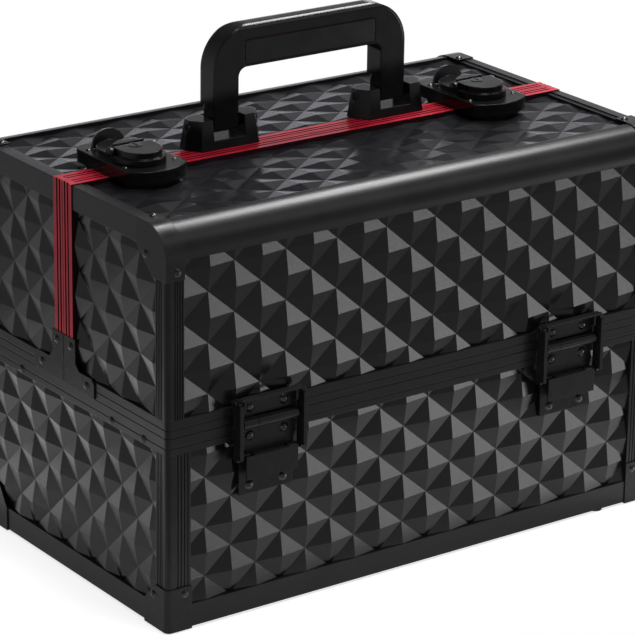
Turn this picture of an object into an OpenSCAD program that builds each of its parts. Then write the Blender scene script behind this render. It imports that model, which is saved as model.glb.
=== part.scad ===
// Split-lid storage case with embossed panels, outward stay hinges,
// two key latches, a folding carry handle and four cantilever trays.
// Millimetres. X runs along the case, the front faces -Y, Z = 0 is the floor.

/* [Case] */
// Width of the case body
case_w = 370; // [350:5:400]
// Depth of the case body
case_d = 224; // [216:2:240]
// Height of the base, from its underside to the seam
base_h = 122.5; // [110:0.5:140]
// Height of the closed lid halves above the seam
lid_h = 127.5; // [122:0.5:145]
// Radius of the lid's long upper edges
corner_r = 19; // [16:1:24]
// Height of the feet under the case
foot_h = 2; // [1.5:0.5:5]
// Gap between lid and base at the seam
seam_gap = 0.4; // [0.3:0.1:0.8]
// Gap between the two lid halves
split_gap = 0.5; // [0.4:0.1:1]
// Distance of the left feet from the left end
foot_left = 15.5; // [12:0.5:60]
// Distance of the right feet from the right end
foot_right = 36.5; // [12:0.5:60]
// Distance of the feet from the front and rear
foot_inset = 6; // [6:0.5:20]

/* [Frame] */
// Thickness of the outer aluminium frame layer
frame_t = 4; // [3.6:0.2:4.6]
// Thickness of the wall boards
board_t = 4; // [3:0.5:4.5]
// Height of the bottom rails
rail_h = 14.5; // [12:0.5:18]
// Height of the rim around the base
rim_h = 10.5; // [9:0.5:13]
// Height of the rim around each lid half
lid_rim_h = 10.6; // [9:0.2:14]
// Width of each leg of the lid's corner posts
post_w = 12; // [11:0.5:16]
// Width of the front legs of the base's corner posts
base_post_w = 16.5; // [15:0.5:20]
// Height of the upper end rails
end_rail_h = 15; // [12:1:20]
// Width of the upper end rails, seen from above
end_rail_w = 10; // [8:1:14]
// Width of the upper end rails' raised strip
rail_strip_w = 6.4; // [5:0.2:7.6]
// Width of each red trim profile
trim_w = 10; // [8:0.5:13]
// Height above the seam at which the red trim ends
trim_low = 31.5; // [26:0.5:40]
// How far the red trim stands proud
trim_proud = 0.6; // [0.4:0.1:1.2]
// Rounding of the upright corners
edge_r = 3; // [2:0.5:3.5]

/* [Pattern] */
// Half pitch of the diamonds along the case
pitch_x = 18.25; // [14:0.05:22]
// Half pitch of the diamonds, upwards
pitch_z = 15.8; // [12:0.2:20]
// Half pitch of the diamonds across the ends
pitch_y = 16.8; // [13:0.2:20]
// Half pitch of the diamonds across the top
pitch_top = 14.1; // [11:0.1:17]
// Height of each diamond pyramid
relief_h = 2.6; // [1.6:0.1:2.6]
// Height of the flatter pyramids on the top
top_relief_h = 1.5; // [1:0.1:2.6]
// Depth of the valleys behind the frame's face
panel_inset = 2.8; // [2.8:0.1:3.4]
// A peak on the base's front, from the left end
base_peak_x = 28; // [0:0.1:73]
// A peak on the base's front, above its underside
base_peak_z = 13.1; // [0:0.1:64]
// A peak on the base's ends, from the front
base_peak_y = 19.6; // [0:0.1:68]
// A peak on the base's ends, above its underside
base_end_peak_z = 28.4; // [0:0.1:64]
// A peak on the lid's front, from the left end
lid_peak_x = 11.9; // [0:0.1:73]
// A peak on the lid's front, above the seam
lid_peak_z = 21.4; // [0:0.1:64]
// A peak on the lid's ends, from the front
lid_peak_y = 32.5; // [0:0.1:68]
// A peak on the lid's ends, above the seam
lid_end_peak_z = 27.2; // [0:0.1:64]
// A peak on the top, from the left end
top_peak_x = 8.1; // [0:0.1:73]
// A peak on the top, from the front
top_peak_y = 7.4; // [0:0.1:57]

/* [Corner caps] */
// Thickness of the corner caps
cap_t = 0.8; // [0.6:0.1:1.2]
// Length of a top cap along the front
top_cap_x = 12; // [9:0.5:15]
// Drop of a top cap below the top
top_cap_z = 31; // [28:1:36]
// Reach of a top cap along the end
top_cap_y = 31; // [28:1:38]
// Length of a top cap's lower edge along the end
top_cap_foot = 14; // [12:0.5:20]
// Leg of a bottom cap along the front
low_cap_x = 17; // [14:1:18]
// Leg of a front bottom cap along the end
low_cap_y = 24; // [20:1:32]
// Leg of a rear bottom cap along the end
rear_cap_y = 40; // [30:1:46]
// Height of a bottom cap
low_cap_h = 27; // [22:1:34]

/* [Hinges] */
// Place of the left hinges along the case
hinge_left_x = -115.8; // [-125:0.1:-95]
// Place of the right hinges along the case
hinge_right_x = 112.8; // [95:0.1:125]
// Width of the hinge leaves
leaf_w = 39; // [34:0.5:42]
// Thickness of the hinge leaves
leaf_t = 1.6; // [1.2:0.1:1.8]
// Distance of the hinge axis from the wall
axis_out = 4; // [3.8:0.1:4.4]
// Radius of the hinge pin
pin_r = 1.2; // [1:0.1:1.5]
// Radius of the hinge barrel
barrel_r = 3.2; // [2.8:0.1:3.6]
// Running clearance of pins, radial
pin_fit = 0.05; // [0.02:0.01:0.09]
// Height of the stay pivot above the hinge axis
stay_pivot = 13.5; // [12:0.5:15]
// Length of a stay from its pivot to its feet
stay_len = 34.2; // [33:0.2:37]
// Outside width of a stay
stay_w = 48; // [46.5:0.5:54]
// Thickness of a stay's arms
stay_t = 2.4; // [1.6:0.1:2.6]
// Radius of a stay's feet
foot_pin_r = 1.2; // [1:0.1:1.3]
// Width of the guides for the stays' feet
guide_w = 37; // [34:0.5:40]
// Drop of the guides' plates below the hinge axis
guide_low = 46; // [42:0.5:50]

/* [Handle] */
// Place of the handle along the case
handle_x = -3.5; // [-10:0.5:10]
// Outside width of the handle
handle_w = 144; // [128:1:170]
// Height of the handle above its pins
handle_h = 60.5; // [54:0.5:70]
// Thickness of the handle, front to back
handle_t = 15; // [12:0.5:18]
// Width of the handle's legs
leg_w = 18; // [15:0.5:19]
// Height of the grip bar
grip_h = 26; // [20:0.5:28]
// Outer corner radius of the handle
handle_r = 27; // [22:1:30]
// Height of the handle pins above the top
handle_pin_z = 14.5; // [13.5:0.5:20]
// How far the brackets sit to the right of the legs' middles
bracket_shift = 1.6; // [0:0.1:1.8]

/* [Latches] */
// Place of the left latch
latch_left_x = -139; // [-142:0.5:-118]
// Place of the right latch
latch_right_x = 119; // [112:0.5:142]
// Width of a latch base
latch_w = 42; // [38:1:46]
// Reach of a latch base in front of the split
latch_front = 38; // [34:1:44]
// Reach of a latch keeper behind the split
latch_rear = 33; // [30:1:40]
// Thickness of a latch base
latch_t = 8.6; // [7:0.2:10]

/* [Trays] */
// Height of the upper trays
tray_up_h = 38; // [28:1:40]
// Height of the lower trays
tray_low_h = 26; // [20:1:26]
// Distance of the trays from the middle of the case
tray_gap = 10; // [9:0.5:22]
// Width of the trays' arms and straps
link_w = 10; // [8:0.5:12]
// Wall of the trays
tray_t = 2; // [1.5:0.1:2.5]

/* [Hidden] */
$fn = 48;

// Outer faces and levels
x_end = case_w / 2;
y_front = -case_d / 2;
z_bot = foot_h;
z_seam = z_bot + base_h;
z_lid = z_seam + seam_gap;
z_top = z_seam + lid_h;
y_split = -split_gap / 2;
wall_t = frame_t + board_t;
flange_t = 3;
rail_foot_w = 20;
rail_foot_t = 2;

// Clearance between frame members that meet at a corner
joint_gap = 0.1;

// Hinge axis at the front; the rear one mirrors it
y_axis = y_front - axis_out;
z_axis = z_seam + seam_gap / 2;

// Inner wall faces
x_in = x_end - wall_t;
y_in = y_front + wall_t;

black = [0.09, 0.09, 0.10];
metal_black = [0.13, 0.13, 0.14];
gloss_black = [0.05, 0.05, 0.05];
red = [0.72, 0.08, 0.13];
steel = [0.62, 0.62, 0.64];
felt = [0.16, 0.16, 0.17];

// ---------- helpers ----------

// Extrudes a (y, z) outline from x0 to x1
module along_x(x0, x1) {
  translate([x0, 0, 0]) rotate([90, 0, 90]) linear_extrude(x1 - x0) children();
}

// Extrudes an (x, z) outline from y0 to y1
module along_y(y0, y1) {
  translate([0, y1, 0]) rotate([90, 0, 0]) linear_extrude(y1 - y0) children();
}

module box(low, high) {
  translate(low) cube(high - low);
}

module both_ends() {
  children();
  mirror([1, 0, 0]) children();
}

module both_sides() {
  children();
  mirror([0, 1, 0]) children();
}

module hinge_places() {
  for (x = [hinge_left_x, hinge_right_x]) translate([x, 0, 0]) children();
}

// Plan of the case with rounded corners, moved inwards by inset
module plan(inset) {
  w = case_w - 2 * inset;
  d = case_d - 2 * inset;
  r = max(edge_r - inset, 0);
  if (r > 0) {
    translate([-w / 2 + r, -d / 2]) square([w - 2 * r, d]);
    translate([-w / 2, -d / 2 + r]) square([w, d - 2 * r]);
    for (x = [-w / 2 + r, w / 2 - r], y = [-d / 2 + r, d / 2 - r]) translate([x, y]) circle(r);
  } else {
    translate([-w / 2, -d / 2]) square([w, d]);
  }
}

module plan_ring(outer, inner) {
  difference() {
    plan(outer);
    plan(inner);
  }
}

// (y, z) outline of the front lid half, moved inwards by inset
module lid_outline(inset, low = z_lid) {
  translate([y_front + inset, low]) square([y_split - y_front - inset, z_top - corner_r - low]);
  translate([y_front + corner_r, low]) square([y_split - y_front - corner_r, z_top - inset - low]);
  translate([y_front + corner_r, z_top - corner_r]) circle(corner_r - inset);
}

// Dome-headed rivet standing on z = 0
module rivet(r = 2.7, h = 1.4) {
  sphere_r = (r * r + h * h) / (2 * h);
  intersection() {
    translate([0, 0, h - sphere_r]) sphere(sphere_r);
    cylinder(r = r, h = h);
  }
}

module rivet_front(x, z, y = y_front, r = 2.7, h = 1.4) {
  translate([x, y, z]) rotate([90, 0, 0]) rivet(r, h);
}

module rivet_end(y, z, x = -x_end) {
  translate([x, y, z]) rotate([0, -90, 0]) rivet();
}

// Embossed field: pyramids with apexes where i + j is even, cut to a window.
// Lies in (u, v) with its valleys on z = 0 and a skin below them.
module diamonds(u0, u1, v0, v1, pu, pv, apex_u, apex_v, relief) {
  skin = frame_t - panel_inset + 0.5;
  i0 = floor((u0 - apex_u) / pu) - 1;
  i1 = ceil((u1 - apex_u) / pu) + 1;
  j0 = floor((v0 - apex_v) / pv) - 1;
  j1 = ceil((v1 - apex_v) / pv) + 1;
  nu = i1 - i0 + 1;
  nv = j1 - j0 + 1;
  n = nu * nv;
  top = [for (j = [j0:j1], i = [i0:i1])
    [apex_u + i * pu, apex_v + j * pv, (i + j) % 2 == 0 ? relief : 0]];
  low = [for (j = [j0, j1], i = [i0, i1]) [apex_u + i * pu, apex_v + j * pv, -skin - 1]];
  function at(i, j) = j * nu + i;
  cells = [for (j = [0:nv - 2], i = [0:nu - 2])
    each (i + j + i0 + j0) % 2 == 0
      ? [[at(i, j), at(i, j + 1), at(i + 1, j)], [at(i + 1, j), at(i, j + 1), at(i + 1, j + 1)]]
      : [[at(i, j), at(i, j + 1), at(i + 1, j + 1)], [at(i, j), at(i + 1, j + 1), at(i + 1, j)]]];
  near = concat([n + 1, n], [for (i = [0:nu - 1]) at(i, 0)]);
  far = concat([n + 2, n + 3], [for (i = [nu - 1:-1:0]) at(i, nv - 1)]);
  left = concat([n, n + 2], [for (j = [nv - 1:-1:0]) at(0, j)]);
  right = concat([n + 3, n + 1], [for (j = [0:nv - 1]) at(nu - 1, j)]);
  under = [n, n + 1, n + 3, n + 2];
  intersection() {
    polyhedron(concat(top, low), concat(cells, [near, far, left, right, under]), 4);
    translate([u0, v0, -skin]) cube([u1 - u0, v1 - v0, relief + 2 * skin]);
  }
}

// Embossed field on a wall that faces -Y; u is x, v is z
module diamonds_front(x0, x1, z0, z1, apex_x, apex_z) {
  translate([0, y_front + panel_inset, 0]) rotate([90, 0, 0])
    diamonds(x0, x1, z0, z1, pitch_x, pitch_z, apex_x, apex_z, relief_h);
}

// Embossed field on a wall that faces -X; u is -y, v is z
module diamonds_end(y0, y1, z0, z1, apex_y, apex_z) {
  translate([-x_end + panel_inset, 0, 0]) rotate([90, 0, -90])
    diamonds(-y1, -y0, z0, z1, pitch_y, pitch_z, -apex_y, apex_z, relief_h);
}

// ---------- base ----------

window_x = x_end - post_w;
window_y = case_d / 2 - post_w;
base_window_x = x_end - base_post_w;
base_low = z_bot + rail_foot_t;
base_high = z_seam - flange_t;

module base_long_panel() {
  color(black) union() {
    box([-x_end + frame_t, y_front + frame_t, base_low], [x_end - frame_t, y_in, base_high]);
    diamonds_front(-base_window_x, base_window_x, z_bot + rail_h, z_seam - rim_h,
      base_peak_x - x_end, z_bot + base_peak_z);
  }
}

module base_end_panels() {
  color(black) both_ends() union() {
    box([-x_end + frame_t, y_in, base_low], [-x_in, -y_in, base_high]);
    diamonds_end(-window_y, window_y, z_bot + rail_h, z_seam - rim_h,
      y_front + base_peak_y, z_bot + base_end_peak_z);
  }
}

module base_floor() {
  color(felt) box([-x_in, y_in, base_low], [x_in, -y_in, base_low + board_t]);
}

mat_t = 1.5;
module base_floor_mat() {
  low = base_low + board_t;
  color(felt) box([-x_in + 1, y_in + 1, low], [x_in - 1, -y_in - 1, low + mat_t]);
}

// Mitred quarter of a frame ring, for the side that faces -Y or -X
mitre_in = rail_foot_w + 10;
mitre_cut = joint_gap / sqrt(2);
module mitre_front() {
  x = x_end - mitre_cut;
  y = y_front + mitre_in;
  polygon([[-x, y_front], [x, y_front], [x - mitre_in, y], [mitre_in - x, y]]);
}

module mitre_end() {
  x = mitre_in - x_end;
  y = y_front + mitre_cut;
  polygon([[-x_end, y], [x, y + mitre_in], [x, -y - mitre_in], [-x_end, -y]]);
}

module ring_bar(inner) {
  intersection() {
    plan_ring(0, inner);
    children();
  }
}

module bottom_rail() {
  translate([0, 0, z_bot]) {
    linear_extrude(rail_foot_t) ring_bar(rail_foot_w) children();
    linear_extrude(rail_h) ring_bar(frame_t) children();
  }
}

module base_bottom_rails() {
  color(metal_black) {
    both_sides() bottom_rail() mitre_front();
    both_ends() bottom_rail() mitre_end();
  }
}

rim_in = wall_t + 0.5;
groove_w = 0.6;
groove_d = 0.3;

module base_rim_bar() {
  difference() {
    union() {
      translate([0, 0, z_seam - rim_h]) linear_extrude(rim_h) ring_bar(frame_t) children();
      translate([0, 0, base_high]) linear_extrude(flange_t) ring_bar(rim_in) children();
    }
    translate([0, 0, z_seam - rim_h * 0.62]) linear_extrude(groove_w)
      plan_ring(-1, groove_d);
  }
}

module base_rim() {
  color(metal_black) {
    both_sides() base_rim_bar() mitre_front();
    both_ends() base_rim_bar() mitre_end();
  }
}

// L-shaped post at the front left corner with flutes in both faces
flute_w = 0.9;
flute_d = 0.5;
module post(front_w, low, high) {
  translate([0, 0, low]) linear_extrude(high - low) difference() {
    intersection() {
      plan_ring(0, frame_t);
      translate([-x_end, y_front]) square([front_w, post_w]);
    }
    for (k = [0.42, 0.56, 0.7, 0.84]) {
      translate([-x_end + k * front_w, y_front - 1]) square([flute_w, 1 + flute_d]);
      translate([-x_end - 1, y_front + k * post_w]) square([1 + flute_d, flute_w]);
    }
  }
}

module base_corner_posts() {
  color(metal_black) both_sides() both_ends() post(base_post_w, z_bot + rail_h, z_seam - rim_h);
}

// Bottom cap outside the frame at the front left corner; its end leg runs
// back to leg_y and its upper edge falls there from the cap's top to low_z
module bottom_cap(leg_y, top_y, low_z) {
  difference() {
    translate([0, 0, z_bot - cap_t]) linear_extrude(low_cap_h + cap_t) intersection() {
      plan(-cap_t);
      translate([-x_end - cap_t, y_front - cap_t]) square([low_cap_x + cap_t, leg_y + cap_t]);
    }
    translate([0, 0, z_bot]) linear_extrude(low_cap_h + 1) plan(0);
    along_x(-x_end - 2, -x_end + 2) polygon([
      [y_front + top_y, z_bot + low_cap_h],
      [y_front + leg_y, z_bot + low_z],
      [y_front + leg_y + 2, z_bot + low_z],
      [y_front + leg_y + 2, z_bot + low_cap_h + 2],
      [y_front + top_y, z_bot + low_cap_h + 2]]);
  }
}

module base_corner_caps() {
  color(metal_black) both_ends() {
    bottom_cap(low_cap_y, post_w, rail_h);
    mirror([0, 1, 0]) bottom_cap(rear_cap_y, rear_cap_y - 8, rail_h);
  }
}

// Feet under the rails, notched where they reach under a cap
foot_r = 4.8;
module base_feet() {
  color(gloss_black) both_sides() difference() {
    for (x = [foot_left - x_end, x_end - foot_right])
      translate([x, y_front + foot_inset, 0]) cylinder(r = foot_r, h = foot_h);
    both_ends() box([-x_end - 1, y_front - 1, z_bot - cap_t],
      [-x_end + low_cap_x, y_front + low_cap_y, z_bot + 1]);
  }
}

module base_rivets() {
  color(steel) {
    for (side = [0, 1]) mirror([0, side, 0]) both_ends() {
      rivet_front(-x_end + 12, z_bot + 22.5, y_front - cap_t);
      cap_rivet = side == 0 ? low_cap_y - 10 : rear_cap_y - 14;
      rivet_end(y_front + cap_rivet, z_bot + 20.3, -x_end - cap_t);
      rivet_end(y_front + 25.3, z_seam - rim_h * 0.7);
      rivet_end(y_front + 60, z_seam - rim_h * 0.7);
    }
    both_sides() hinge_places() {
      for (x = [-rivet_x, rivet_x]) {
        rivet_front(x, z_axis - leaf_rivet_z, y_front - leaf_t, 3.2, 1.8);
        rivet_front(x, z_axis - guide_low + 5.5, y_front - guide_plate_t, 3.2, 1.8);
      }
    }
  }
}

// ---------- stay hinges ----------

rivet_x = 12.2;
leaf_rivet_z = 9;
leaf_h = 15;
lid_leaf_h = 14.8;
knuckle_split = -leaf_w / 2 + 0.27 * leaf_w;
knuckle_gap = 0.3;

// Hinge leaf and its knuckle; the plate keeps clear of the other leaf's knuckle
module leaf(x0, x1, up, height) {
  s = up ? 1 : -1;
  clear_z = barrel_r + 0.4;
  y_wall = y_front;
  difference() {
    union() {
      translate([x0, y_axis, z_axis]) rotate([0, 90, 0]) cylinder(r = barrel_r, h = x1 - x0);
      z_plate = [z_axis + s * clear_z, z_axis + s * height];
      box([-leaf_w / 2, y_wall - leaf_t, min(z_plate)], [leaf_w / 2, y_wall, max(z_plate)]);
      z_link = [z_axis + s * 0.4, z_axis + s * clear_z];
      box([x0, y_wall - leaf_t, min(z_link)], [x1, y_wall, max(z_link)]);
    }
    translate([x0 - 1, y_axis, z_axis]) rotate([0, 90, 0]) cylinder(r = pin_r + pin_fit, h = x1 - x0 + 2);
  }
}

module hinge_lower_leaves() {
  color(metal_black) both_sides() hinge_places()
    leaf(knuckle_split + knuckle_gap / 2, leaf_w / 2, false, leaf_h);
}

module hinge_pins() {
  head = 0.8;
  color(steel) both_sides() hinge_places() translate([-leaf_w / 2 - 0.1, y_axis, z_axis]) rotate([0, 90, 0]) {
    cylinder(r = pin_r, h = leaf_w + 0.1);
    translate([0, 0, -head]) cylinder(r = 2 * pin_r - 0.2, h = head);
    translate([0, 0, leaf_w + 0.1]) cylinder(r = 2 * pin_r - 0.2, h = head);
  }
}

ear_t = 1.8;
ear_r = 2.3;
ear_x = leaf_w / 2 - ear_t;
stay_pin_r = 1.1;
stay_pin_head = 2.2;
z_pivot = z_axis + stay_pivot;

module lid_leaf() {
  leaf(-leaf_w / 2, knuckle_split - knuckle_gap / 2, true, lid_leaf_h);
  for (side = [-1, 1]) {
    x0 = side > 0 ? ear_x : -ear_x - ear_t;
    box([x0, y_axis - ear_r, z_pivot - 5], [x0 + ear_t, y_front, z_pivot]);
    translate([x0, y_axis, z_pivot]) rotate([0, 90, 0]) cylinder(r = ear_r, h = ear_t);
    pin_x = side > 0 ? ear_x : -stay_w / 2 - 0.2;
    translate([pin_x, y_axis, z_pivot]) rotate([0, 90, 0])
      cylinder(r = stay_pin_r, h = stay_w / 2 + 0.2 - ear_x);
    head_x = side > 0 ? stay_w / 2 + 0.2 : -stay_w / 2 - 1.2;
    translate([head_x, y_axis, z_pivot]) rotate([0, 90, 0]) cylinder(r = stay_pin_head, h = 1);
  }
}

module lid_hinge_leaves() {
  color(metal_black) hinge_places() lid_leaf();
}

// Stay: two arms, a bar across their tops, and feet that point inwards.
// While a lid opens, a stay turns by this share of the lid's angle.
stay_share = 0.26;
arm_front = 5;
arm_rear = 2.4;
foot_in = arm_rear - foot_pin_r;
foot_reach = 13;
bar_top = 4;
z_foot = z_pivot - stay_len;

module stay_arm() {
  difference() {
    along_x(stay_w / 2 - stay_t, stay_w / 2) {
      translate([y_axis, z_pivot]) circle(3.4);
      translate([y_axis - arm_front, z_foot]) square([arm_front + arm_rear, stay_len]);
      translate([y_axis, z_foot]) circle(arm_rear);
    }
    translate([stay_w / 2 - stay_t - 1, y_axis, z_pivot]) rotate([0, 90, 0])
      cylinder(r = stay_pin_r + pin_fit, h = stay_t + 2);
  }
  translate([foot_reach, y_axis + foot_in, z_foot]) rotate([0, 90, 0])
    cylinder(r = foot_pin_r, h = stay_w / 2 - foot_reach - 0.1);
}

// Front outline of a stay, with round upper corners
module stay_front() {
  r = 4;
  half = stay_w / 2;
  top = z_pivot + bar_top;
  translate([-half, z_foot - arm_front]) square([stay_w, top - r - z_foot + arm_front]);
  translate([r - half, top - r]) square([stay_w - 2 * r, r]);
  for (s = [-1, 1]) translate([s * (half - r), top - r]) circle(r);
}

module stay() {
  intersection() {
    union() {
      stay_arm();
      mirror([1, 0, 0]) stay_arm();
      box([-stay_w / 2, y_axis - arm_front, z_pivot + 2.6], [stay_w / 2, y_axis - 0.8, z_pivot + bar_top]);
    }
    along_y(y_axis - 2 * arm_front, y_axis + 2 * arm_front) stay_front();
  }
}

module stays() {
  color(gloss_black) hinge_places() stay();
}

// Guide that the stay's feet slide in; its slot is as deep as their swing
foot_swing = max([for (a = [0:5:90])
  stay_pivot * sin(a) - stay_len * sin(stay_share * a) - foot_in * cos(stay_share * a)]);
guide_plate_t = 1.2;
guide_wall = 0.9;
guide_slot = axis_out + foot_swing + foot_pin_r + 0.25;
guide_core = foot_reach - 1.5;
guide_top = stay_len - stay_pivot - 1;
guide_bottom = stay_len + 0.1;

module stay_guides() {
  color(metal_black) both_sides() hinge_places() {
    box([-leaf_w / 2, y_front - guide_plate_t, z_axis - guide_low],
      [leaf_w / 2, y_front, z_axis - leaf_h - joint_gap]);
    box([-guide_core, y_front - guide_slot, z_axis - guide_bottom],
      [guide_core, y_front - guide_plate_t, z_axis - guide_top]);
    box([-guide_w / 2, y_front - guide_slot - guide_wall, z_axis - guide_bottom],
      [guide_w / 2, y_front - guide_slot, z_axis - guide_top]);
  }
}

// ---------- front lid half; the rear half mirrors it ----------

lid_board_low = z_lid + flange_t;
lid_window_low = z_lid + lid_rim_h;
lip = 0.5;
nose_edge = corner_r + lip;
split_edge = -trim_w - split_gap;

module lid_long_panel() {
  color(black) union() {
    box([-x_end + frame_t, y_front + frame_t, lid_board_low], [x_end - frame_t, y_in, z_top - corner_r]);
    diamonds_front(-window_x, window_x, lid_window_low, z_top - nose_edge,
      lid_peak_x - x_end, z_lid + lid_peak_z);
  }
}

// Top board; the field stops at the fittings whose plan is given as children
module lid_top_panel() {
  color(black) union() {
    box([-x_end + frame_t, y_front + corner_r, z_top - wall_t], [x_end - frame_t, y_split, z_top - frame_t]);
    difference() {
      translate([0, 0, z_top - panel_inset])
        diamonds(-x_end + end_rail_w, x_end - end_rail_w, y_front + nose_edge, split_edge,
          pitch_x, pitch_top, top_peak_x - x_end, y_front + top_peak_y, top_relief_h);
      translate([0, 0, z_top - frame_t]) linear_extrude(frame_t + top_relief_h) children();
    }
  }
}

module lid_end_panels() {
  color(black) both_ends() union() {
    along_x(-x_end + frame_t, -x_in) lid_outline(wall_t, lid_board_low);
    diamonds_end(y_front + post_w, split_edge, lid_window_low, z_top - end_rail_h,
      y_front + lid_peak_y, z_lid + lid_end_peak_z);
  }
}

// Large-radius profile along the lid's upper edge
module nose_profile() {
  color(metal_black) along_x(-x_end + frame_t, x_end - frame_t) {
    intersection() {
      difference() {
        lid_outline(0);
        lid_outline(wall_t);
      }
      translate([y_front, z_top - corner_r]) square(corner_r);
    }
    translate([y_front, z_top - nose_edge]) square([frame_t, lip]);
    translate([y_front + corner_r, z_top - frame_t]) square([lip, frame_t]);
  }
}

module end_rails() {
  color(metal_black) both_ends() {
    along_x(-x_end, -x_end + frame_t) difference() {
      intersection() {
        lid_outline(0);
        translate([y_front, z_top - nose_edge]) square([split_edge - y_front, nose_edge]);
      }
      translate([y_front + post_w, z_top - nose_edge - 1])
        square([case_d, nose_edge + 1 - end_rail_h]);
    }
    box([-x_end + frame_t, y_front + nose_edge, z_top - frame_t],
      [-x_end + rail_strip_w, split_edge, z_top]);
    box([-x_end + frame_t, y_front + nose_edge, z_top - frame_t],
      [-x_end + end_rail_w, split_edge, z_top - 0.8]);
  }
}

module lid_corner_posts() {
  color(metal_black) both_ends() post(post_w, lid_window_low, z_top - nose_edge);
}

module lid_rim_bar() {
  intersection() {
    difference() {
      union() {
        translate([0, 0, z_lid]) linear_extrude(lid_rim_h) ring_bar(frame_t) children();
        translate([0, 0, z_lid]) linear_extrude(flange_t) ring_bar(rim_in) children();
      }
      translate([0, 0, z_lid + lid_rim_h * 0.45]) linear_extrude(groove_w) plan_ring(-1, groove_d);
    }
    box([-case_w, -case_d, 0], [case_w, y_split, z_top]);
  }
}

module lid_rim() {
  color(metal_black) {
    lid_rim_bar() mitre_front();
    both_ends() lid_rim_bar() mitre_end();
  }
}

// Ribbed red profile along the split, one on top and one down each end
rib_w = 1.4;
module trim_section(depth) {
  difference() {
    translate([-trim_w - split_gap / 2, 0]) square([trim_w, depth]);
    for (k = [0.26, 0.58]) translate([y_split - trim_w * k - rib_w / 2, depth - 0.9]) square([rib_w, 2]);
  }
}

module red_trim() {
  depth = frame_t + trim_proud;
  color(red) {
    x = x_end - frame_t - joint_gap;
    translate([0, 0, z_top - frame_t]) along_x(-x, x) trim_section(depth);
    both_ends() translate([-x_end + frame_t, 0, z_seam + trim_low])
      linear_extrude(lid_h + trim_proud - trim_low) rotate(90) trim_section(depth);
  }
}

// Black bracket under the red trim, with a foot along the rim
bracket_t = 1;
bracket_arm = 13;
bracket_foot = 34;
bracket_foot_h = 12;
module end_brackets() {
  color(gloss_black) both_ends() {
    along_x(-x_end - bracket_t, -x_end) polygon([
      [y_split, z_lid],
      [-bracket_foot, z_lid],
      [-bracket_foot, z_lid + bracket_foot_h - 3],
      [3 - bracket_foot, z_lid + bracket_foot_h],
      [-bracket_arm - 4, z_lid + bracket_foot_h],
      [-bracket_arm, z_lid + bracket_foot_h + 4],
      [-bracket_arm, z_seam + trim_low],
      [y_split, z_seam + trim_low]]);
    box([-x_end, y_split - trim_w, z_lid + lid_rim_h], [-x_end + frame_t, y_split, z_seam + trim_low]);
  }
}

module top_corner_caps() {
  color(metal_black) both_ends() {
    along_x(-x_end, -x_end + top_cap_x) intersection() {
      difference() {
        lid_outline(-cap_t);
        lid_outline(0);
      }
      translate([y_front - cap_t, z_top - top_cap_z]) square([top_cap_y + cap_t, top_cap_z + cap_t]);
    }
    along_x(-x_end - cap_t, -x_end) intersection() {
      lid_outline(-cap_t);
      polygon([
        [y_front - cap_t, z_top - top_cap_z],
        [y_front + top_cap_foot, z_top - top_cap_z],
        [y_front + top_cap_y, z_top - top_cap_foot],
        [y_front + top_cap_y, z_top + cap_t],
        [y_front - cap_t, z_top + cap_t]]);
    }
  }
}

// Rivets of a lid half; children are the rivets of its fittings
module lid_rivets() {
  color(steel) {
    both_ends() {
      translate([-x_end + 8.2, y_front + 27, z_top + cap_t]) rivet();
      rivet_front(-x_end + 7.2, z_top - 26, y_front - cap_t);
      rivet_end(y_front + 21, z_top - 19, -x_end - cap_t);
      rivet_end(-8, z_seam + 26, -x_end - bracket_t);
      rivet_end(-25.5, z_seam + 6.5, -x_end - bracket_t);
    }
    hinge_places() for (x = [-rivet_x, rivet_x])
      rivet_front(x, z_axis + leaf_rivet_z, y_front - leaf_t, 3.2, 1.8);
    children();
  }
}

// ---------- cantilever trays ----------
// Points are [inward, up] from the hinge axis. Each lid point and the arm
// point beside it are a constant step apart, so the trays stay level.

wall_u = wall_t + axis_out;
lid_low = [wall_u + 16.5, 28.5];
lid_up = 2 * lid_low;
tray_u = wall_u + 12;
tray_d = -y_axis - tray_u - tray_gap;
arm_step = [tray_d - 47, -7];
arm_low = lid_low + arm_step;
arm_up = lid_up + arm_step;
tray_low_v = 14;
tray_up_v = 44;
link_t = 2.5;
tray_x = x_in - 6.5;
link_x = tray_x + 2;
tray_pin_r = 1.5;
open_fit = 0.7;

// Cylinder along X through the point p, on the left
module pivot(p, r, depth, from) {
  translate([-from - depth, y_axis + p[0], z_axis + p[1]]) rotate([0, 90, 0]) cylinder(r = r, h = depth);
}

// Flat link with round ends from p to q and holes at the listed points
module link(p, q, holes, hole_r) {
  d = q - p;
  difference() {
    union() {
      translate([-link_x - link_t, y_axis + p[0], z_axis + p[1]]) rotate([atan2(d[1], d[0]), 0, 0])
        translate([0, 0, -link_w / 2]) cube([link_t, norm(d), link_w]);
      for (h = [p, q]) pivot(h, link_w / 2, link_t, link_x);
    }
    for (h = holes) pivot(h, hole_r, link_t + 2, link_x - 1);
  }
}

module tray_straps() {
  color(metal_black) both_ends() {
    link(lid_low, lid_up, [lid_low, lid_up], tray_pin_r + open_fit);
    pivot((lid_low + lid_up) / 2, 5, x_in - link_x - link_t, link_x + link_t);
  }
}

module tray_arms() {
  color(metal_black) both_ends() link(arm_step, arm_up, [arm_step, arm_low, arm_up], tray_pin_r + pin_fit);
}

module tray_arm_studs() {
  color(steel) both_sides() both_ends() {
    pivot(arm_step, 3.2, x_in - link_x - link_t - 0.3, link_x + link_t + 0.3);
    pivot(arm_step, tray_pin_r, link_t + 0.8, link_x - 0.5);
    pivot(arm_step, 3.2, 1, link_x - 1.5);
  }
}

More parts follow.
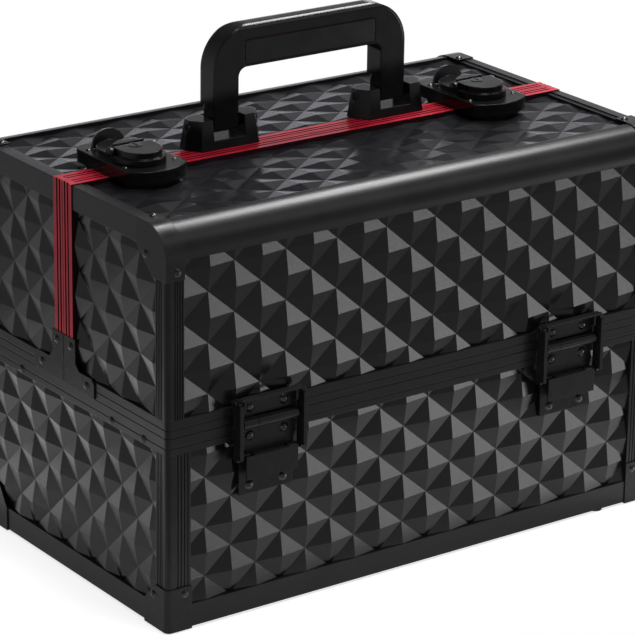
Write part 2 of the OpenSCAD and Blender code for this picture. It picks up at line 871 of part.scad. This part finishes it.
module tray(v, height, dividers, lid_pin, arm_pin) {
  low = [-tray_x, y_axis + tray_u, z_axis + v];
  high = [tray_x, y_axis + tray_u + tray_d, z_axis + v + height];
  wall = [tray_t, tray_t, 0];
  color(black) {
    difference() {
      box(low, high);
      box(low + [tray_t, tray_t, tray_t], high - wall + [0, 0, 1]);
    }
    for (x = dividers) box([x - tray_t / 2, low[1] + tray_t, low[2] + tray_t],
      [x + tray_t / 2, high[1] - tray_t, high[2] - 4]);
    both_ends() {
      pivot(lid_pin, tray_pin_r, link_t + 2, tray_x);
      pivot(arm_pin, tray_pin_r, link_t + 2.4, tray_x);
      pivot(arm_pin, 3.2, 1.7, tray_x);
      pivot(arm_pin, 2.6, 0.8, link_x + link_t + 0.4);
    }
  }
}

module upper_tray() {
  tray(tray_up_v, tray_up_h, [-tray_x / 3, tray_x / 3], lid_up, arm_up);
}

module lower_tray() {
  tray(tray_low_v, tray_low_h, [], lid_low, arm_low);
}

// ---------- handle on the rear lid half ----------

handle_y = split_gap / 2 + 10.4;
z_handle = z_top + handle_pin_z;
bracket_x = handle_w / 2 - leg_w / 2;
saddle_y = 10.3;
saddle_front_x = 21;
saddle_side_x = 27.5;
saddle_taper = 0.9;
saddle_gap = leg_w + 5.2;
saddle_floor = handle_pin_z - 8.3;
saddle_top = handle_pin_z + 4.5;
lug_r = 3.8;
handle_pin_r = 2.2;
foot_margin = -4;

function saddle_x(s) = handle_x + bracket_shift + s * bracket_x;

module handle_places() {
  for (s = [-1, 1]) translate([saddle_x(s), handle_y, z_top]) children();
}

// Plan of a saddle: straight front and rear, angular sides
module saddle_plan(margin) {
  x = saddle_front_x + margin;
  y = saddle_y + margin;
  side = saddle_side_x + margin;
  polygon([[-x, -y], [x, -y], [side, -1], [side, 5], [x, y], [-x, y], [-side, 5], [-side, -1]]);
}

// The part of a saddle's plan behind the trim, where its foot stands on the board
module saddle_foot(margin) {
  intersection() {
    saddle_plan(foot_margin + margin);
    translate([-saddle_side_x, -split_edge - handle_y - margin]) square([2 * saddle_side_x, 2 * saddle_y]);
  }
}

// Tapered saddle with a gap for the handle's leg
module saddle() {
  difference() {
    union() {
      translate([0, 0, trim_proud])
        linear_extrude(saddle_top - trim_proud, scale = [saddle_taper, 0.78]) saddle_plan(0);
      translate([0, 0, -frame_t]) linear_extrude(frame_t + trim_proud + 0.1) saddle_foot(0);
    }
    box([-saddle_gap / 2, -2 * saddle_y, saddle_floor], [saddle_gap / 2, 2 * saddle_y, saddle_top + 1]);
    translate([-2 * saddle_side_x, 0, handle_pin_z]) rotate([0, 90, 0])
      cylinder(r = handle_pin_r + pin_fit, h = 4 * saddle_side_x);
  }
}

module handle_brackets() {
  color(metal_black) handle_places() saddle();
}

// Half length of a pin, whose ends lie just inside the tapered sides
pin_half = saddle_side_x
  * (1 - (1 - saddle_taper) * (handle_pin_z - trim_proud) / (saddle_top - trim_proud)) - 0.3;
module handle_pins() {
  color(steel) handle_places() translate([-pin_half, 0, handle_pin_z]) rotate([0, 90, 0])
    cylinder(r = handle_pin_r, h = 2 * pin_half);
}

leg_start = 12;
handle_edge = 4.5;
inlay_low = handle_h - grip_h + 1;
inlay_h = 15.4;
inlay_high = inlay_low + inlay_h;
inlay_half = handle_w / 2 - leg_w - 5;
inlay_r = 1;
inlay_depth = 1.2;

// Front outline of the handle, x from its middle and z from its pins
module handle_front() {
  half = handle_w / 2;
  inner = half - leg_w;
  inner_r = 6;
  difference() {
    union() {
      translate([-half, leg_start]) square([2 * half, handle_h - handle_r - leg_start]);
      translate([-half + handle_r, leg_start]) square([2 * half - 2 * handle_r, handle_h - leg_start]);
      for (s = [-1, 1]) translate([s * (half - handle_r), handle_h - handle_r]) circle(handle_r);
    }
    translate([-inner, 0]) square([2 * inner, handle_h - grip_h - inner_r]);
    translate([-inner + inner_r, 0]) square([2 * (inner - inner_r), handle_h - grip_h]);
    for (s = [-1, 1]) translate([s * (inner - inner_r), handle_h - grip_h - inner_r]) circle(inner_r);
  }
}

// Side outline of the handle, y and z from its pins
module handle_side() {
  half = handle_t / 2;
  translate([-half, leg_start]) square([2 * half, handle_h - handle_edge - leg_start]);
  translate([-half + handle_edge, leg_start]) square([2 * (half - handle_edge), handle_h - leg_start]);
  for (s = [-1, 1]) translate([s * (half - handle_edge), handle_h - handle_edge]) circle(handle_edge);
}

module inlay_plan(margin) {
  half = inlay_half - margin;
  low = inlay_low + margin;
  high = inlay_high - margin;
  translate([-half, low + inlay_r]) square([2 * half, high - low - 2 * inlay_r]);
  translate([inlay_r - half, low]) square([2 * (half - inlay_r), high - low]);
  for (x = [inlay_r - half, half - inlay_r], z = [low + inlay_r, high - inlay_r])
    translate([x, z]) circle(inlay_r);
}

module handle_grip() {
  color(gloss_black) translate([handle_x, handle_y, z_handle]) difference() {
    union() {
      intersection() {
        along_y(-handle_t, handle_t) handle_front();
        along_x(-handle_w, handle_w) handle_side();
      }
      for (s = [-1, 1]) translate([s * bracket_x, 0, 0]) {
        box([-leg_w / 2, -handle_t / 2, -3.5], [leg_w / 2, 0, leg_start]);
        box([-leg_w / 2, -lug_r, 0], [leg_w / 2, lug_r, leg_start]);
        translate([bracket_shift - saddle_gap / 2 + 0.4, 0, 0]) rotate([0, 90, 0])
          cylinder(r = lug_r, h = saddle_gap - 0.8);
      }
    }
    for (s = [-1, 1]) {
      translate([s * bracket_x - leg_w, 0, 0]) rotate([0, 90, 0])
        cylinder(r = handle_pin_r + pin_fit, h = 2 * leg_w);
      y0 = s * handle_t / 2;
      along_y(min(y0, y0 - s * inlay_depth), max(y0, y0 - s * inlay_depth)) inlay_plan(0);
    }
  }
}

module handle_inlays() {
  depth = inlay_depth - 0.2;
  color(metal_black) translate([handle_x, handle_y, z_handle]) {
    along_y(-handle_t / 2 + 0.2, -handle_t / 2 + 0.2 + depth) inlay_plan(0.2);
    along_y(handle_t / 2 - 0.2 - depth, handle_t / 2 - 0.2) inlay_plan(0.2);
  }
}

// ---------- latches across the split ----------
// The base, lever and lock are on the front lid half, the keeper on the rear.

plate_shift = 1.5;
tier_gap = 0.3;
low_tier_w = 32.4;
low_tier_top = latch_t + 4;
high_tier_w = 27;
high_tier_top = latch_t + 8;
lever_front = 28;
lever_pin = [-3.6, high_tier_top - 3.4];
lever_r = 3.2;
lever_pin_r = 1.2;
lever_pin_x = 6;
lock_y = -7.4;
lock_r = 4;
lock_depth = 7;
flap_r = 12;
flap_t = 2;

module latch_places() {
  for (x = [latch_left_x, latch_right_x]) translate([x, 0, z_top]) children();
}

module latch_plan(margin) {
  arc_r = 30;
  translate([plate_shift, 0]) intersection() {
    translate([-latch_w / 2 - margin, -latch_front - margin])
      square([latch_w + 2 * margin, latch_front + margin + y_split]);
    translate([0, -latch_front + arc_r]) circle(arc_r + margin);
  }
}

module keeper_plan(margin) {
  r = 8;
  w = latch_w / 2 + margin;
  depth = latch_rear + margin + y_split;
  translate([plate_shift - w, -y_split]) square([2 * w, depth - r]);
  translate([plate_shift - w + r, -y_split]) square([2 * (w - r), depth]);
  for (s = [-1, 1]) translate([plate_shift + s * (w - r), depth - r - y_split]) circle(r);
}

// Plans of the feet that stand on the board beside the trim
module latch_foot(margin) {
  intersection() {
    latch_plan(foot_margin + margin);
    translate([-latch_w, split_edge + margin - latch_front]) square([2 * latch_w, latch_front]);
  }
}

module keeper_foot(margin) {
  intersection() {
    keeper_plan(foot_margin + margin);
    translate([-latch_w, -split_edge - margin]) square([2 * latch_w, latch_rear]);
  }
}

module slab() {
  translate([0, 0, trim_proud]) linear_extrude(latch_t - trim_proud) children();
}

module slab_foot() {
  translate([0, 0, -frame_t]) linear_extrude(frame_t + trim_proud + 0.1) children();
}

module latch_base() {
  slab() latch_plan(0);
  slab_foot() latch_foot(0);
  for (s = [-1, 1]) {
    x0 = s > 0 ? high_tier_w / 2 + 0.4 : -low_tier_w / 2;
    x1 = s > 0 ? low_tier_w / 2 : -high_tier_w / 2 - 0.4;
    along_x(x0, x1) {
      translate(lever_pin) circle(lever_r);
      translate([lever_pin[0] - lever_r, latch_t - 0.1]) square([2 * lever_r, lever_pin[1] - latch_t + 0.1]);
    }
    along_x(s > 0 ? lever_pin_x + 0.2 : x1 - 0.2, s > 0 ? x0 + 0.2 : -lever_pin_x - 0.2)
      translate(lever_pin) circle(lever_pin_r);
    translate([s * low_tier_w / 2, lever_pin[0], lever_pin[1]]) rotate([0, s * 90, 0]) rivet(1.8, 0.8);
  }
}

module latch_bases() {
  color(metal_black) latch_places() latch_base();
}

// Plan of a tier with a round front end and a straight rear edge
module tier(width, front, rear) {
  r = width / 2;
  intersection() {
    union() {
      translate([-r, -front + r]) square([width, front - r - rear]);
      translate([0, -front + r]) circle(r);
    }
    translate([-width, -front]) square([2 * width, front - rear]);
  }
}

module lever() {
  low = latch_t + tier_gap;
  difference() {
    union() {
      translate([0, 0, low]) linear_extrude(low_tier_top - low) tier(low_tier_w, lever_front, 8);
      translate([0, 0, low]) linear_extrude(high_tier_top - low)
        tier(high_tier_w, lever_front - 2, -lever_pin[0]);
      along_x(-high_tier_w / 2, high_tier_w / 2) translate(lever_pin) circle(lever_r);
    }
    translate([0, lock_y, high_tier_top - lock_depth]) cylinder(r = lock_r + pin_fit, h = lock_depth + 1);
    for (x = [lever_pin_x, -high_tier_w / 2 - 1]) translate([x, lever_pin[0], lever_pin[1]])
      rotate([0, 90, 0]) cylinder(r = lever_pin_r + pin_fit, h = high_tier_w / 2 + 1 - lever_pin_x);
  }
}

module lock_cylinder() {
  difference() {
    translate([0, lock_y, high_tier_top - lock_depth + pin_fit])
      cylinder(r = lock_r, h = lock_depth + 0.3 - pin_fit);
    translate([-0.7, lock_y - 2.8, high_tier_top - 2.5]) cube([1.4, 5.6, 4]);
  }
}

module latch_keeper() {
  slab() keeper_plan(0);
  slab_foot() keeper_foot(0);
  translate([0, 0, latch_t - 0.1]) {
    linear_extrude(low_tier_top - latch_t + 0.1) intersection() {
      mirror([0, 1]) tier(low_tier_w, 22, 0);
      keeper_plan(0);
    }
    linear_extrude(high_tier_top - latch_t + 0.1) intersection() {
      translate([0, 6 - high_tier_w / 2]) circle(high_tier_w / 2);
      keeper_plan(0);
    }
  }
  intersection() {
    translate([0, latch_rear - 10, latch_t - 1.6]) rotate([78, 0, 0]) cylinder(r = flap_r, h = flap_t);
    box([-flap_r, 0, latch_t - 0.1], [flap_r, latch_rear, latch_t + 2 * flap_r]);
  }
}

module latch_keepers() {
  color(metal_black) latch_places() latch_keeper();
}

module latch_rivets() {
  latch_places() for (s = [-1, 1])
    translate([plate_shift + s * (latch_w / 2 - 3.8), 7 - lever_front, latch_t]) rivet(1.8, 0.9);
}

module keeper_rivets() {
  latch_places() for (s = [-1, 1])
    translate([plate_shift + s * (latch_w / 2 - 4.5), latch_rear - 11.5, latch_t]) rivet(2, 1);
}

module front_fittings() {
  for (x = [latch_left_x, latch_right_x]) translate([x, 0]) latch_foot(0.2);
}

module rear_fittings() {
  for (x = [latch_left_x, latch_right_x]) translate([x, 0]) keeper_foot(0.2);
  for (s = [-1, 1]) translate([saddle_x(s), handle_y]) saddle_foot(0.2);
}

// ---------- nodes ----------

base_long_panel();  // base_front_panel
mirror([0, 1, 0]) base_long_panel();  // base_rear_panel
base_end_panels();
base_floor();
base_floor_mat();
base_bottom_rails();
base_corner_posts();
base_rim();
base_corner_caps();
base_feet();
base_rivets();
hinge_lower_leaves();
hinge_pins();
stay_guides();
tray_arm_studs();
lid_long_panel();  // front_lid_front_panel
lid_top_panel() front_fittings();  // front_lid_top_panel
lid_end_panels();  // front_lid_end_panels
nose_profile();  // front_nose_profile
end_rails();  // front_end_rails
lid_corner_posts();  // front_corner_posts
lid_rim();  // front_lid_rim
red_trim();  // front_red_trim
end_brackets();  // front_end_brackets
top_corner_caps();  // front_corner_caps
lid_rivets() latch_rivets();  // front_lid_rivets
lid_hinge_leaves();  // front_hinge_leaves
tray_straps();  // front_tray_straps
mirror([0, 1, 0]) lid_long_panel();  // rear_lid_rear_panel
mirror([0, 1, 0]) lid_top_panel() mirror([0, 1, 0]) rear_fittings();  // rear_lid_top_panel
mirror([0, 1, 0]) lid_end_panels();  // rear_lid_end_panels
mirror([0, 1, 0]) nose_profile();  // rear_nose_profile
mirror([0, 1, 0]) end_rails();  // rear_end_rails
mirror([0, 1, 0]) lid_corner_posts();  // rear_corner_posts
mirror([0, 1, 0]) lid_rim();  // rear_lid_rim
mirror([0, 1, 0]) red_trim();  // rear_red_trim
mirror([0, 1, 0]) end_brackets();  // rear_end_brackets
mirror([0, 1, 0]) top_corner_caps();  // rear_corner_caps
mirror([0, 1, 0]) lid_rivets() mirror([0, 1, 0]) keeper_rivets();  // rear_lid_rivets
mirror([0, 1, 0]) lid_hinge_leaves();  // rear_hinge_leaves
mirror([0, 1, 0]) tray_straps();  // rear_tray_straps
stays();  // front_stays
mirror([0, 1, 0]) stays();  // rear_stays
handle_grip();
handle_inlays();
handle_brackets();
handle_pins();
latch_bases();
latch_keepers();
color(gloss_black) translate([latch_left_x, 0, z_top]) lever();  // left_latch_lever
color(gloss_black) translate([latch_right_x, 0, z_top]) lever();  // right_latch_lever
color(steel) translate([latch_left_x, 0, z_top]) lock_cylinder();  // left_lock_cylinder
color(steel) translate([latch_right_x, 0, z_top]) lock_cylinder();  // right_lock_cylinder
upper_tray();  // front_upper_tray
lower_tray();  // front_lower_tray
mirror([0, 1, 0]) upper_tray();  // rear_upper_tray
mirror([0, 1, 0]) lower_tray();  // rear_lower_tray
tray_arms();  // front_tray_arms
mirror([0, 1, 0]) tray_arms();  // rear_tray_arms
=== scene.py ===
from math import cos, radians, sin

import bpy
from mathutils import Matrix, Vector

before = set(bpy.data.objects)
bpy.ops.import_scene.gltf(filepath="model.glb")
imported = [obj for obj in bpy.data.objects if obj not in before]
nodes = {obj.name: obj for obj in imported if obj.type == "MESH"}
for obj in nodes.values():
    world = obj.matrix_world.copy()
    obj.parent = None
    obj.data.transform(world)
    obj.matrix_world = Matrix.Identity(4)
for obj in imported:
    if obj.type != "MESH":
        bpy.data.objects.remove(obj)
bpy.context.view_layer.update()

# ---------- materials ----------

DRAW_LINES = 3200.0  # draw lines per metre across an anodised profile
DRAW_LENGTH = 12.0  # and along it
LINE_DEPTH = 0.000012  # all depths and edge radii are in metres
GRAIN_DEPTH = 0.00002
POLISH_DEPTH = 0.000004
ALONG_X = (DRAW_LENGTH, DRAW_LINES, DRAW_LINES)
ALONG_Y = (DRAW_LINES, DRAW_LENGTH, DRAW_LINES)


class Nodes:
    """A material's node tree, with short calls to add nodes to it."""

    def __init__(self, name):
        self.material = bpy.data.materials.new(name)
        self.material.use_nodes = True
        self.tree = self.material.node_tree
        self.shader = self.tree.nodes["Principled BSDF"]
        self.place = self.add("ShaderNodeTexCoord").outputs["Object"]

    def add(self, kind, **values):
        node = self.tree.nodes.new(kind)
        for key, value in values.items():
            setattr(node, key, value)
        return node

    def join(self, source, target):
        self.tree.links.new(source, target)

    def set(self, **values):
        for key, value in values.items():
            self.shader.inputs[key.replace("_", " ")].default_value = value

    def stretched(self, scale):
        mapping = self.add("ShaderNodeMapping")
        mapping.inputs["Scale"].default_value = scale
        self.join(self.place, mapping.inputs["Vector"])
        return mapping.outputs["Vector"]

    def noise(self, scale, detail=4.0, rough=0.5, vector=None):
        node = self.add("ShaderNodeTexNoise")
        node.inputs["Scale"].default_value = scale
        node.inputs["Detail"].default_value = detail
        node.inputs["Roughness"].default_value = rough
        self.join(vector or self.place, node.inputs["Vector"])
        return node.outputs["Fac"]

    def span(self, value, low, high, start=0.3, end=0.7):
        node = self.add("ShaderNodeMapRange")
        node.inputs["From Min"].default_value = start
        node.inputs["From Max"].default_value = end
        node.inputs["To Min"].default_value = low
        node.inputs["To Max"].default_value = high
        self.join(value, node.inputs["Value"])
        return node.outputs["Result"]

    def tint(self, value, dark, light, start=0.3, end=0.7):
        ramp = self.add("ShaderNodeValToRGB")
        ramp.color_ramp.elements[0].position = start
        ramp.color_ramp.elements[0].color = (*dark, 1)
        ramp.color_ramp.elements[1].position = end
        ramp.color_ramp.elements[1].color = (*light, 1)
        self.join(value, ramp.inputs["Fac"])
        return ramp.outputs["Color"]

    def mix(self, factor, a, b):
        node = self.add("ShaderNodeMix", data_type="FLOAT")
        self.join(factor, node.inputs["Factor"])
        self.join(a, node.inputs["A"])
        self.join(b, node.inputs["B"])
        return node.outputs["Result"]

    def colour(self, source):
        self.join(source, self.shader.inputs["Base Color"])

    def roughness(self, source):
        self.join(source, self.shader.inputs["Roughness"])

    def draw_lines(self, scale):
        return self.noise(1.0, 4.0, 0.6, self.stretched(scale))

    def facing(self, axis):
        """How squarely the true surface faces along that axis, from 0 to 1."""
        normal = self.add("ShaderNodeSeparateXYZ")
        self.join(self.add("ShaderNodeNewGeometry").outputs["True Normal"], normal.inputs["Vector"])
        share = self.add("ShaderNodeMath", operation="ABSOLUTE")
        self.join(normal.outputs[axis], share.inputs[0])
        return share.outputs["Value"]

    def relief(self, height, depth, edge=0.0):
        """Bump of that depth in metres, over edges rounded by edge metres."""
        bump = self.add("ShaderNodeBump")
        bump.inputs["Strength"].default_value = 1.0
        bump.inputs["Distance"].default_value = depth
        self.join(height, bump.inputs["Height"])
        if edge:
            bevel = self.add("ShaderNodeBevel", samples=4)
            bevel.inputs["Radius"].default_value = edge
            self.join(bevel.outputs["Normal"], bump.inputs["Normal"])
        self.join(bump.outputs["Normal"], self.shader.inputs["Normal"])


def laminate():
    """Embossed board covering: a fine grain over slow, cloudy changes of tone."""
    m = Nodes("embossed_laminate")
    grain = m.noise(2600.0, 3.0, 0.6)
    cloud = m.noise(14.0, 2.0)
    m.colour(m.tint(cloud, (0.006, 0.006, 0.007), (0.009, 0.009, 0.011)))
    m.roughness(m.span(grain, 0.18, 0.25))
    m.relief(grain, GRAIN_DEPTH, edge=0.0003)
    m.set(Specular_IOR_Level=0.24)
    return m.material


def black_profile():
    """Anodised profile with fine draw lines along its length: X, or Y on the ends."""
    m = Nodes("black_profile")
    lines = m.mix(m.facing("X"), m.draw_lines(ALONG_X), m.draw_lines(ALONG_Y))
    cloud = m.noise(40.0, 3.0)
    m.colour(m.tint(cloud, (0.009, 0.009, 0.0095), (0.014, 0.014, 0.015)))
    m.roughness(m.span(lines, 0.25, 0.37))
    m.relief(lines, LINE_DEPTH, edge=0.0006)
    m.set(Specular_IOR_Level=0.2)
    return m.material


def red_profile():
    """Red anodised faces; the sides of the profile, which face along Y, are painted near-black as the
    shade where the trim meets the panel.
    """
    m = Nodes("red_profile")
    lines = m.draw_lines(ALONG_X)
    cloud = m.noise(40.0, 3.0)
    is_side = m.add("ShaderNodeMath", operation="GREATER_THAN")
    is_side.inputs[1].default_value = 0.7
    m.join(m.facing("Y"), is_side.inputs[0])
    red_with_shaded_sides = m.add("ShaderNodeMix", data_type="RGBA")
    m.join(is_side.outputs["Value"], red_with_shaded_sides.inputs["Factor"])
    m.join(m.tint(cloud, (0.36, 0.008, 0.021), (0.50, 0.015, 0.036)), red_with_shaded_sides.inputs["A"])
    # Painted shade: the trim's sides get a near-black colour that stands for the shadow between trim and
    # panel
    red_with_shaded_sides.inputs["B"].default_value = (0.030, 0.006, 0.009, 1)
    m.colour(red_with_shaded_sides.outputs["Result"])
    m.roughness(m.span(lines, 0.26, 0.40))
    m.relief(lines, LINE_DEPTH, edge=0.0002)
    m.set(Metallic=0.35, Specular_IOR_Level=0.25)
    return m.material


def moulded(name, tones, rough, grain_depth, edge, gloss):
    """Moulded plastic or thick lacquer, as smooth as its grain is shallow."""
    m = Nodes(name)
    grain = m.noise(3200.0, 2.0, 0.5)
    cloud = m.noise(60.0, 3.0)
    m.colour(m.tint(cloud, *tones))
    m.roughness(m.span(cloud, rough - 0.04, rough + 0.05))
    m.relief(grain, grain_depth, edge)
    m.set(Specular_IOR_Level=gloss)
    return m.material


def painted(name, tones, rough, metal, edge):
    """Thin paint over pressed steel, or bare metal where metal is high, a little uneven."""
    m = Nodes(name)
    fleck = m.noise(900.0, 4.0, 0.65)
    cloud = m.noise(80.0, 3.0)
    m.colour(m.tint(fleck, *tones, 0.35, 0.75))
    m.roughness(m.span(cloud, rough - 0.06, rough + 0.06))
    m.relief(fleck, GRAIN_DEPTH, edge)
    m.set(Metallic=metal, Specular_IOR_Level=0.15)
    return m.material


def felt():
    m = Nodes("lining_felt")
    fibre = m.noise(1800.0, 6.0, 0.8)
    m.colour(m.tint(fibre, (0.012, 0.012, 0.014), (0.05, 0.05, 0.055)))
    m.relief(fibre, 0.0003)
    m.set(Roughness=0.95, Sheen_Weight=0.3)
    return m.material


# Each material drifts between two tones
DEEP_BLACK = ((0.004, 0.004, 0.004), (0.007, 0.007, 0.007))
TRAY_BLACK = ((0.010, 0.010, 0.011), (0.016, 0.016, 0.017))
PAINT_BLACK = ((0.014, 0.014, 0.014), (0.023, 0.023, 0.0235))
RIVET_GREY = ((0.020, 0.020, 0.021), (0.09, 0.09, 0.092))
STEEL_GREY = ((0.03, 0.03, 0.031), (0.07, 0.07, 0.072))
BARE_METAL = ((0.42, 0.42, 0.43), (0.56, 0.56, 0.57))

LAMINATE = laminate()
FRAME = black_profile()
RED = red_profile()
PAINT = painted("black_paint", PAINT_BLACK, rough=0.28, metal=0.0, edge=0.0004)
RIVET = painted("black_rivet", RIVET_GREY, rough=0.22, metal=0.8, edge=0.0001)
STEEL = painted("dark_steel", STEEL_GREY, rough=0.26, metal=0.8, edge=0.0002)
STRAP = painted("plain_strap", BARE_METAL, rough=0.30, metal=1.0, edge=0.0002)
GLOSS = moulded("gloss_plastic", DEEP_BLACK, rough=0.10, grain_depth=POLISH_DEPTH, edge=0.0022, gloss=0.22)
LATCH = moulded("latch_lacquer", DEEP_BLACK, rough=0.18, grain_depth=POLISH_DEPTH, edge=0.0010, gloss=0.22)
TRAY = moulded("tray_plastic", TRAY_BLACK, rough=0.5, grain_depth=0.00005, edge=0.0008, gloss=0.2)
FELT = felt()

# The first word found in a node's name gives its material; the rest is the frame
BY_WORD = [
    ("base_floor", FELT), ("panel", LAMINATE), ("rivets", RIVET), ("red_trim", RED),
    ("handle_grip", GLOSS), ("handle_inlays", LATCH), ("handle_pins", STEEL),
    ("hinge_pins", STEEL), ("studs", STEEL), ("lock_cylinder", STEEL), ("feet", GLOSS),
    ("tray_straps", STRAP), ("tray_arms", STRAP), ("tray", TRAY),
    ("stay", PAINT), ("hinge", PAINT), ("latch", LATCH), ("handle_brackets", LATCH),
    ("bracket", PAINT), ("caps", PAINT), ("", FRAME),
]

for name, obj in nodes.items():
    finish = next(material for word, material in BY_WORD if word in name)
    obj.data.materials.clear()
    obj.data.materials.append(finish)

# ---------- floor ----------

FLOOR_HALF_LENGTH = 0.46
FLOOR_HALF_DEPTH = 0.275
FLOOR_CENTRE_Y = 0.05
FLOOR_CORNERS = 72
FLOOR_SEEN = 0.75  # glow that the camera sees on top of the lamps' light
FLOOR_MIRRORED = 0.34  # glow that shiny black surfaces mirror


def floor_material():
    """White paper whose glow only the camera and glossy rays see, so it stays pale in the shade."""
    m = Nodes("pale_floor")
    speck = m.noise(30.0, 3.0)
    m.colour(m.tint(speck, (0.93, 0.93, 0.93), (0.96, 0.96, 0.96)))
    m.set(Roughness=0.7, Specular_IOR_Level=0.0, Emission_Color=(1, 1, 1, 1))
    path = m.add("ShaderNodeLightPath")
    mirrored = m.add("ShaderNodeMath", operation="MULTIPLY")
    m.join(path.outputs["Is Glossy Ray"], mirrored.inputs[0])
    mirrored.inputs[1].default_value = FLOOR_MIRRORED
    glow = m.add("ShaderNodeMath", operation="MULTIPLY_ADD")
    m.join(path.outputs["Is Camera Ray"], glow.inputs[0])
    glow.inputs[1].default_value = FLOOR_SEEN
    m.join(mirrored.outputs["Value"], glow.inputs[2])
    m.join(glow.outputs["Value"], m.shader.inputs["Emission Strength"])
    return m.material


def lay_floor():
    """Oval sheet that leaves room in front of it, where the lower front mirrors the key lamp."""
    turns = [radians(360 * corner / FLOOR_CORNERS) for corner in range(FLOOR_CORNERS)]
    edge = [(FLOOR_HALF_LENGTH * cos(t), FLOOR_CENTRE_Y + FLOOR_HALF_DEPTH * sin(t), 0) for t in turns]
    mesh = bpy.data.meshes.new("floor")
    mesh.from_pydata(edge, [], [tuple(range(FLOOR_CORNERS))])
    mesh.materials.append(floor_material())
    sheet = bpy.data.objects.new("floor", mesh)
    bpy.context.collection.objects.link(sheet)


lay_floor()

# ---------- lamps ----------

MIDDLE = (0, 0, 0.13)  # about the middle of the case's body
TOP_LEFT = (-0.06, -0.06, 0.27)
NOSE = (0, -0.10, 0.25)


def area_light(name, target, direction, distance, size, watts, color=(1, 1, 1)):
    """Soft box of that width and height that looks at target from that direction."""
    data = bpy.data.lights.new(name, "AREA")
    data.shape = "RECTANGLE"
    data.size, data.size_y = size
    data.energy = watts
    data.color = color
    lamp = bpy.data.objects.new(name, data)
    bpy.context.collection.objects.link(lamp)
    back = Vector(direction).normalized()
    lamp.location = Vector(target) + back * distance
    lamp.rotation_euler = back.to_track_quat("Z", "Y").to_euler()


# Mirrored by the facets of the front that face right and up
area_light("key_right", MIDDLE, (0.753, -0.647, -0.128), distance=4.05, size=(1.05, 0.70), watts=17)
# Mirrored by the facets of the top
area_light(
    "back", MIDDLE, (0.57, 0.80, 0.15), distance=2.4, size=(2.6, 0.55), watts=3.8, color=(0.88, 0.88, 1.0))
area_light("strip", TOP_LEFT, (0.56, 0.26, 0.77), distance=1.2, size=(0.42, 0.42), watts=14)
# The long highlight on the nose, and soft light from above
area_light("nose_front", NOSE, (0.57, -0.50, 0.65), distance=2.0, size=(0.9, 0.7), watts=2.8)
area_light("overhead", MIDDLE, (0.1, -0.15, 1.0), distance=2.0, size=(0.9, 0.5), watts=22)

# ---------- studio ----------

ROOM = 0.25  # what lights every surface, apart from what it mirrors
WALL = 0.5  # what shiny surfaces mirror up to WALL_TOP
CEILING = 0.1  # and from CEILING_START up
WALL_TOP = 0.02  # as the upward share of a direction
CEILING_START = 0.55
WHITE = 1.0  # what the camera sees behind the case

world = bpy.data.worlds.new("studio")
bpy.context.scene.world = world
world.use_nodes = True
tree = world.node_tree


def world_node(kind, inputs=(), **values):
    node = tree.nodes.new(kind)
    for key, value in values.items():
        setattr(node, key, value)
    for name, value in inputs:
        if isinstance(value, (int, float)):
            node.inputs[name].default_value = value
        else:
            tree.links.new(value, node.inputs[name])
    return node


coordinates = world_node("ShaderNodeTexCoord")
direction = world_node("ShaderNodeSeparateXYZ", [(0, coordinates.outputs["Generated"])])
height = world_node("ShaderNodeMapRange", [
    ("Value", direction.outputs["Z"]), ("From Min", WALL_TOP), ("From Max", CEILING_START),
    ("To Min", WALL), ("To Max", CEILING)])
path = world_node("ShaderNodeLightPath")
seen = world_node("ShaderNodeMath", [
    (0, path.outputs["Is Camera Ray"]), (1, path.outputs["Is Transmission Ray"])], operation="MAXIMUM")
lit = world_node("ShaderNodeMix", [
    ("Factor", path.outputs["Is Glossy Ray"]), ("A", ROOM), ("B", height.outputs["Result"])],
    data_type="FLOAT")
strength = world_node("ShaderNodeMix", [
    ("Factor", seen.outputs["Value"]), ("A", lit.outputs["Result"]), ("B", WHITE)],
    data_type="FLOAT")
background = tree.nodes["Background"]
background.inputs["Color"].default_value = (1, 1, 1, 1)
tree.links.new(strength.outputs["Result"], background.inputs["Strength"])

# ---------- camera, solved from the photograph's straight edges and lattice ----------

SENSOR_WIDTH = 36.0  # mm, as the lens
LENS = 189.02
CAMERA_PLACE = (-1.1602, -1.6100, 0.8534)
CAMERA_TURN = (69.947, -0.773, -35.539)  # degrees about X, Y and Z

camera = bpy.data.cameras.new("photo_camera")
camera.lens = LENS
camera.sensor_width = SENSOR_WIDTH
camera_object = bpy.data.objects.new("photo_camera", camera)
bpy.context.collection.objects.link(camera_object)
camera_object.location = CAMERA_PLACE
camera_object.rotation_euler = [radians(angle) for angle in CAMERA_TURN]
bpy.context.scene.camera = camera_object
bpy.context.scene.view_settings.view_transform = "Standard"
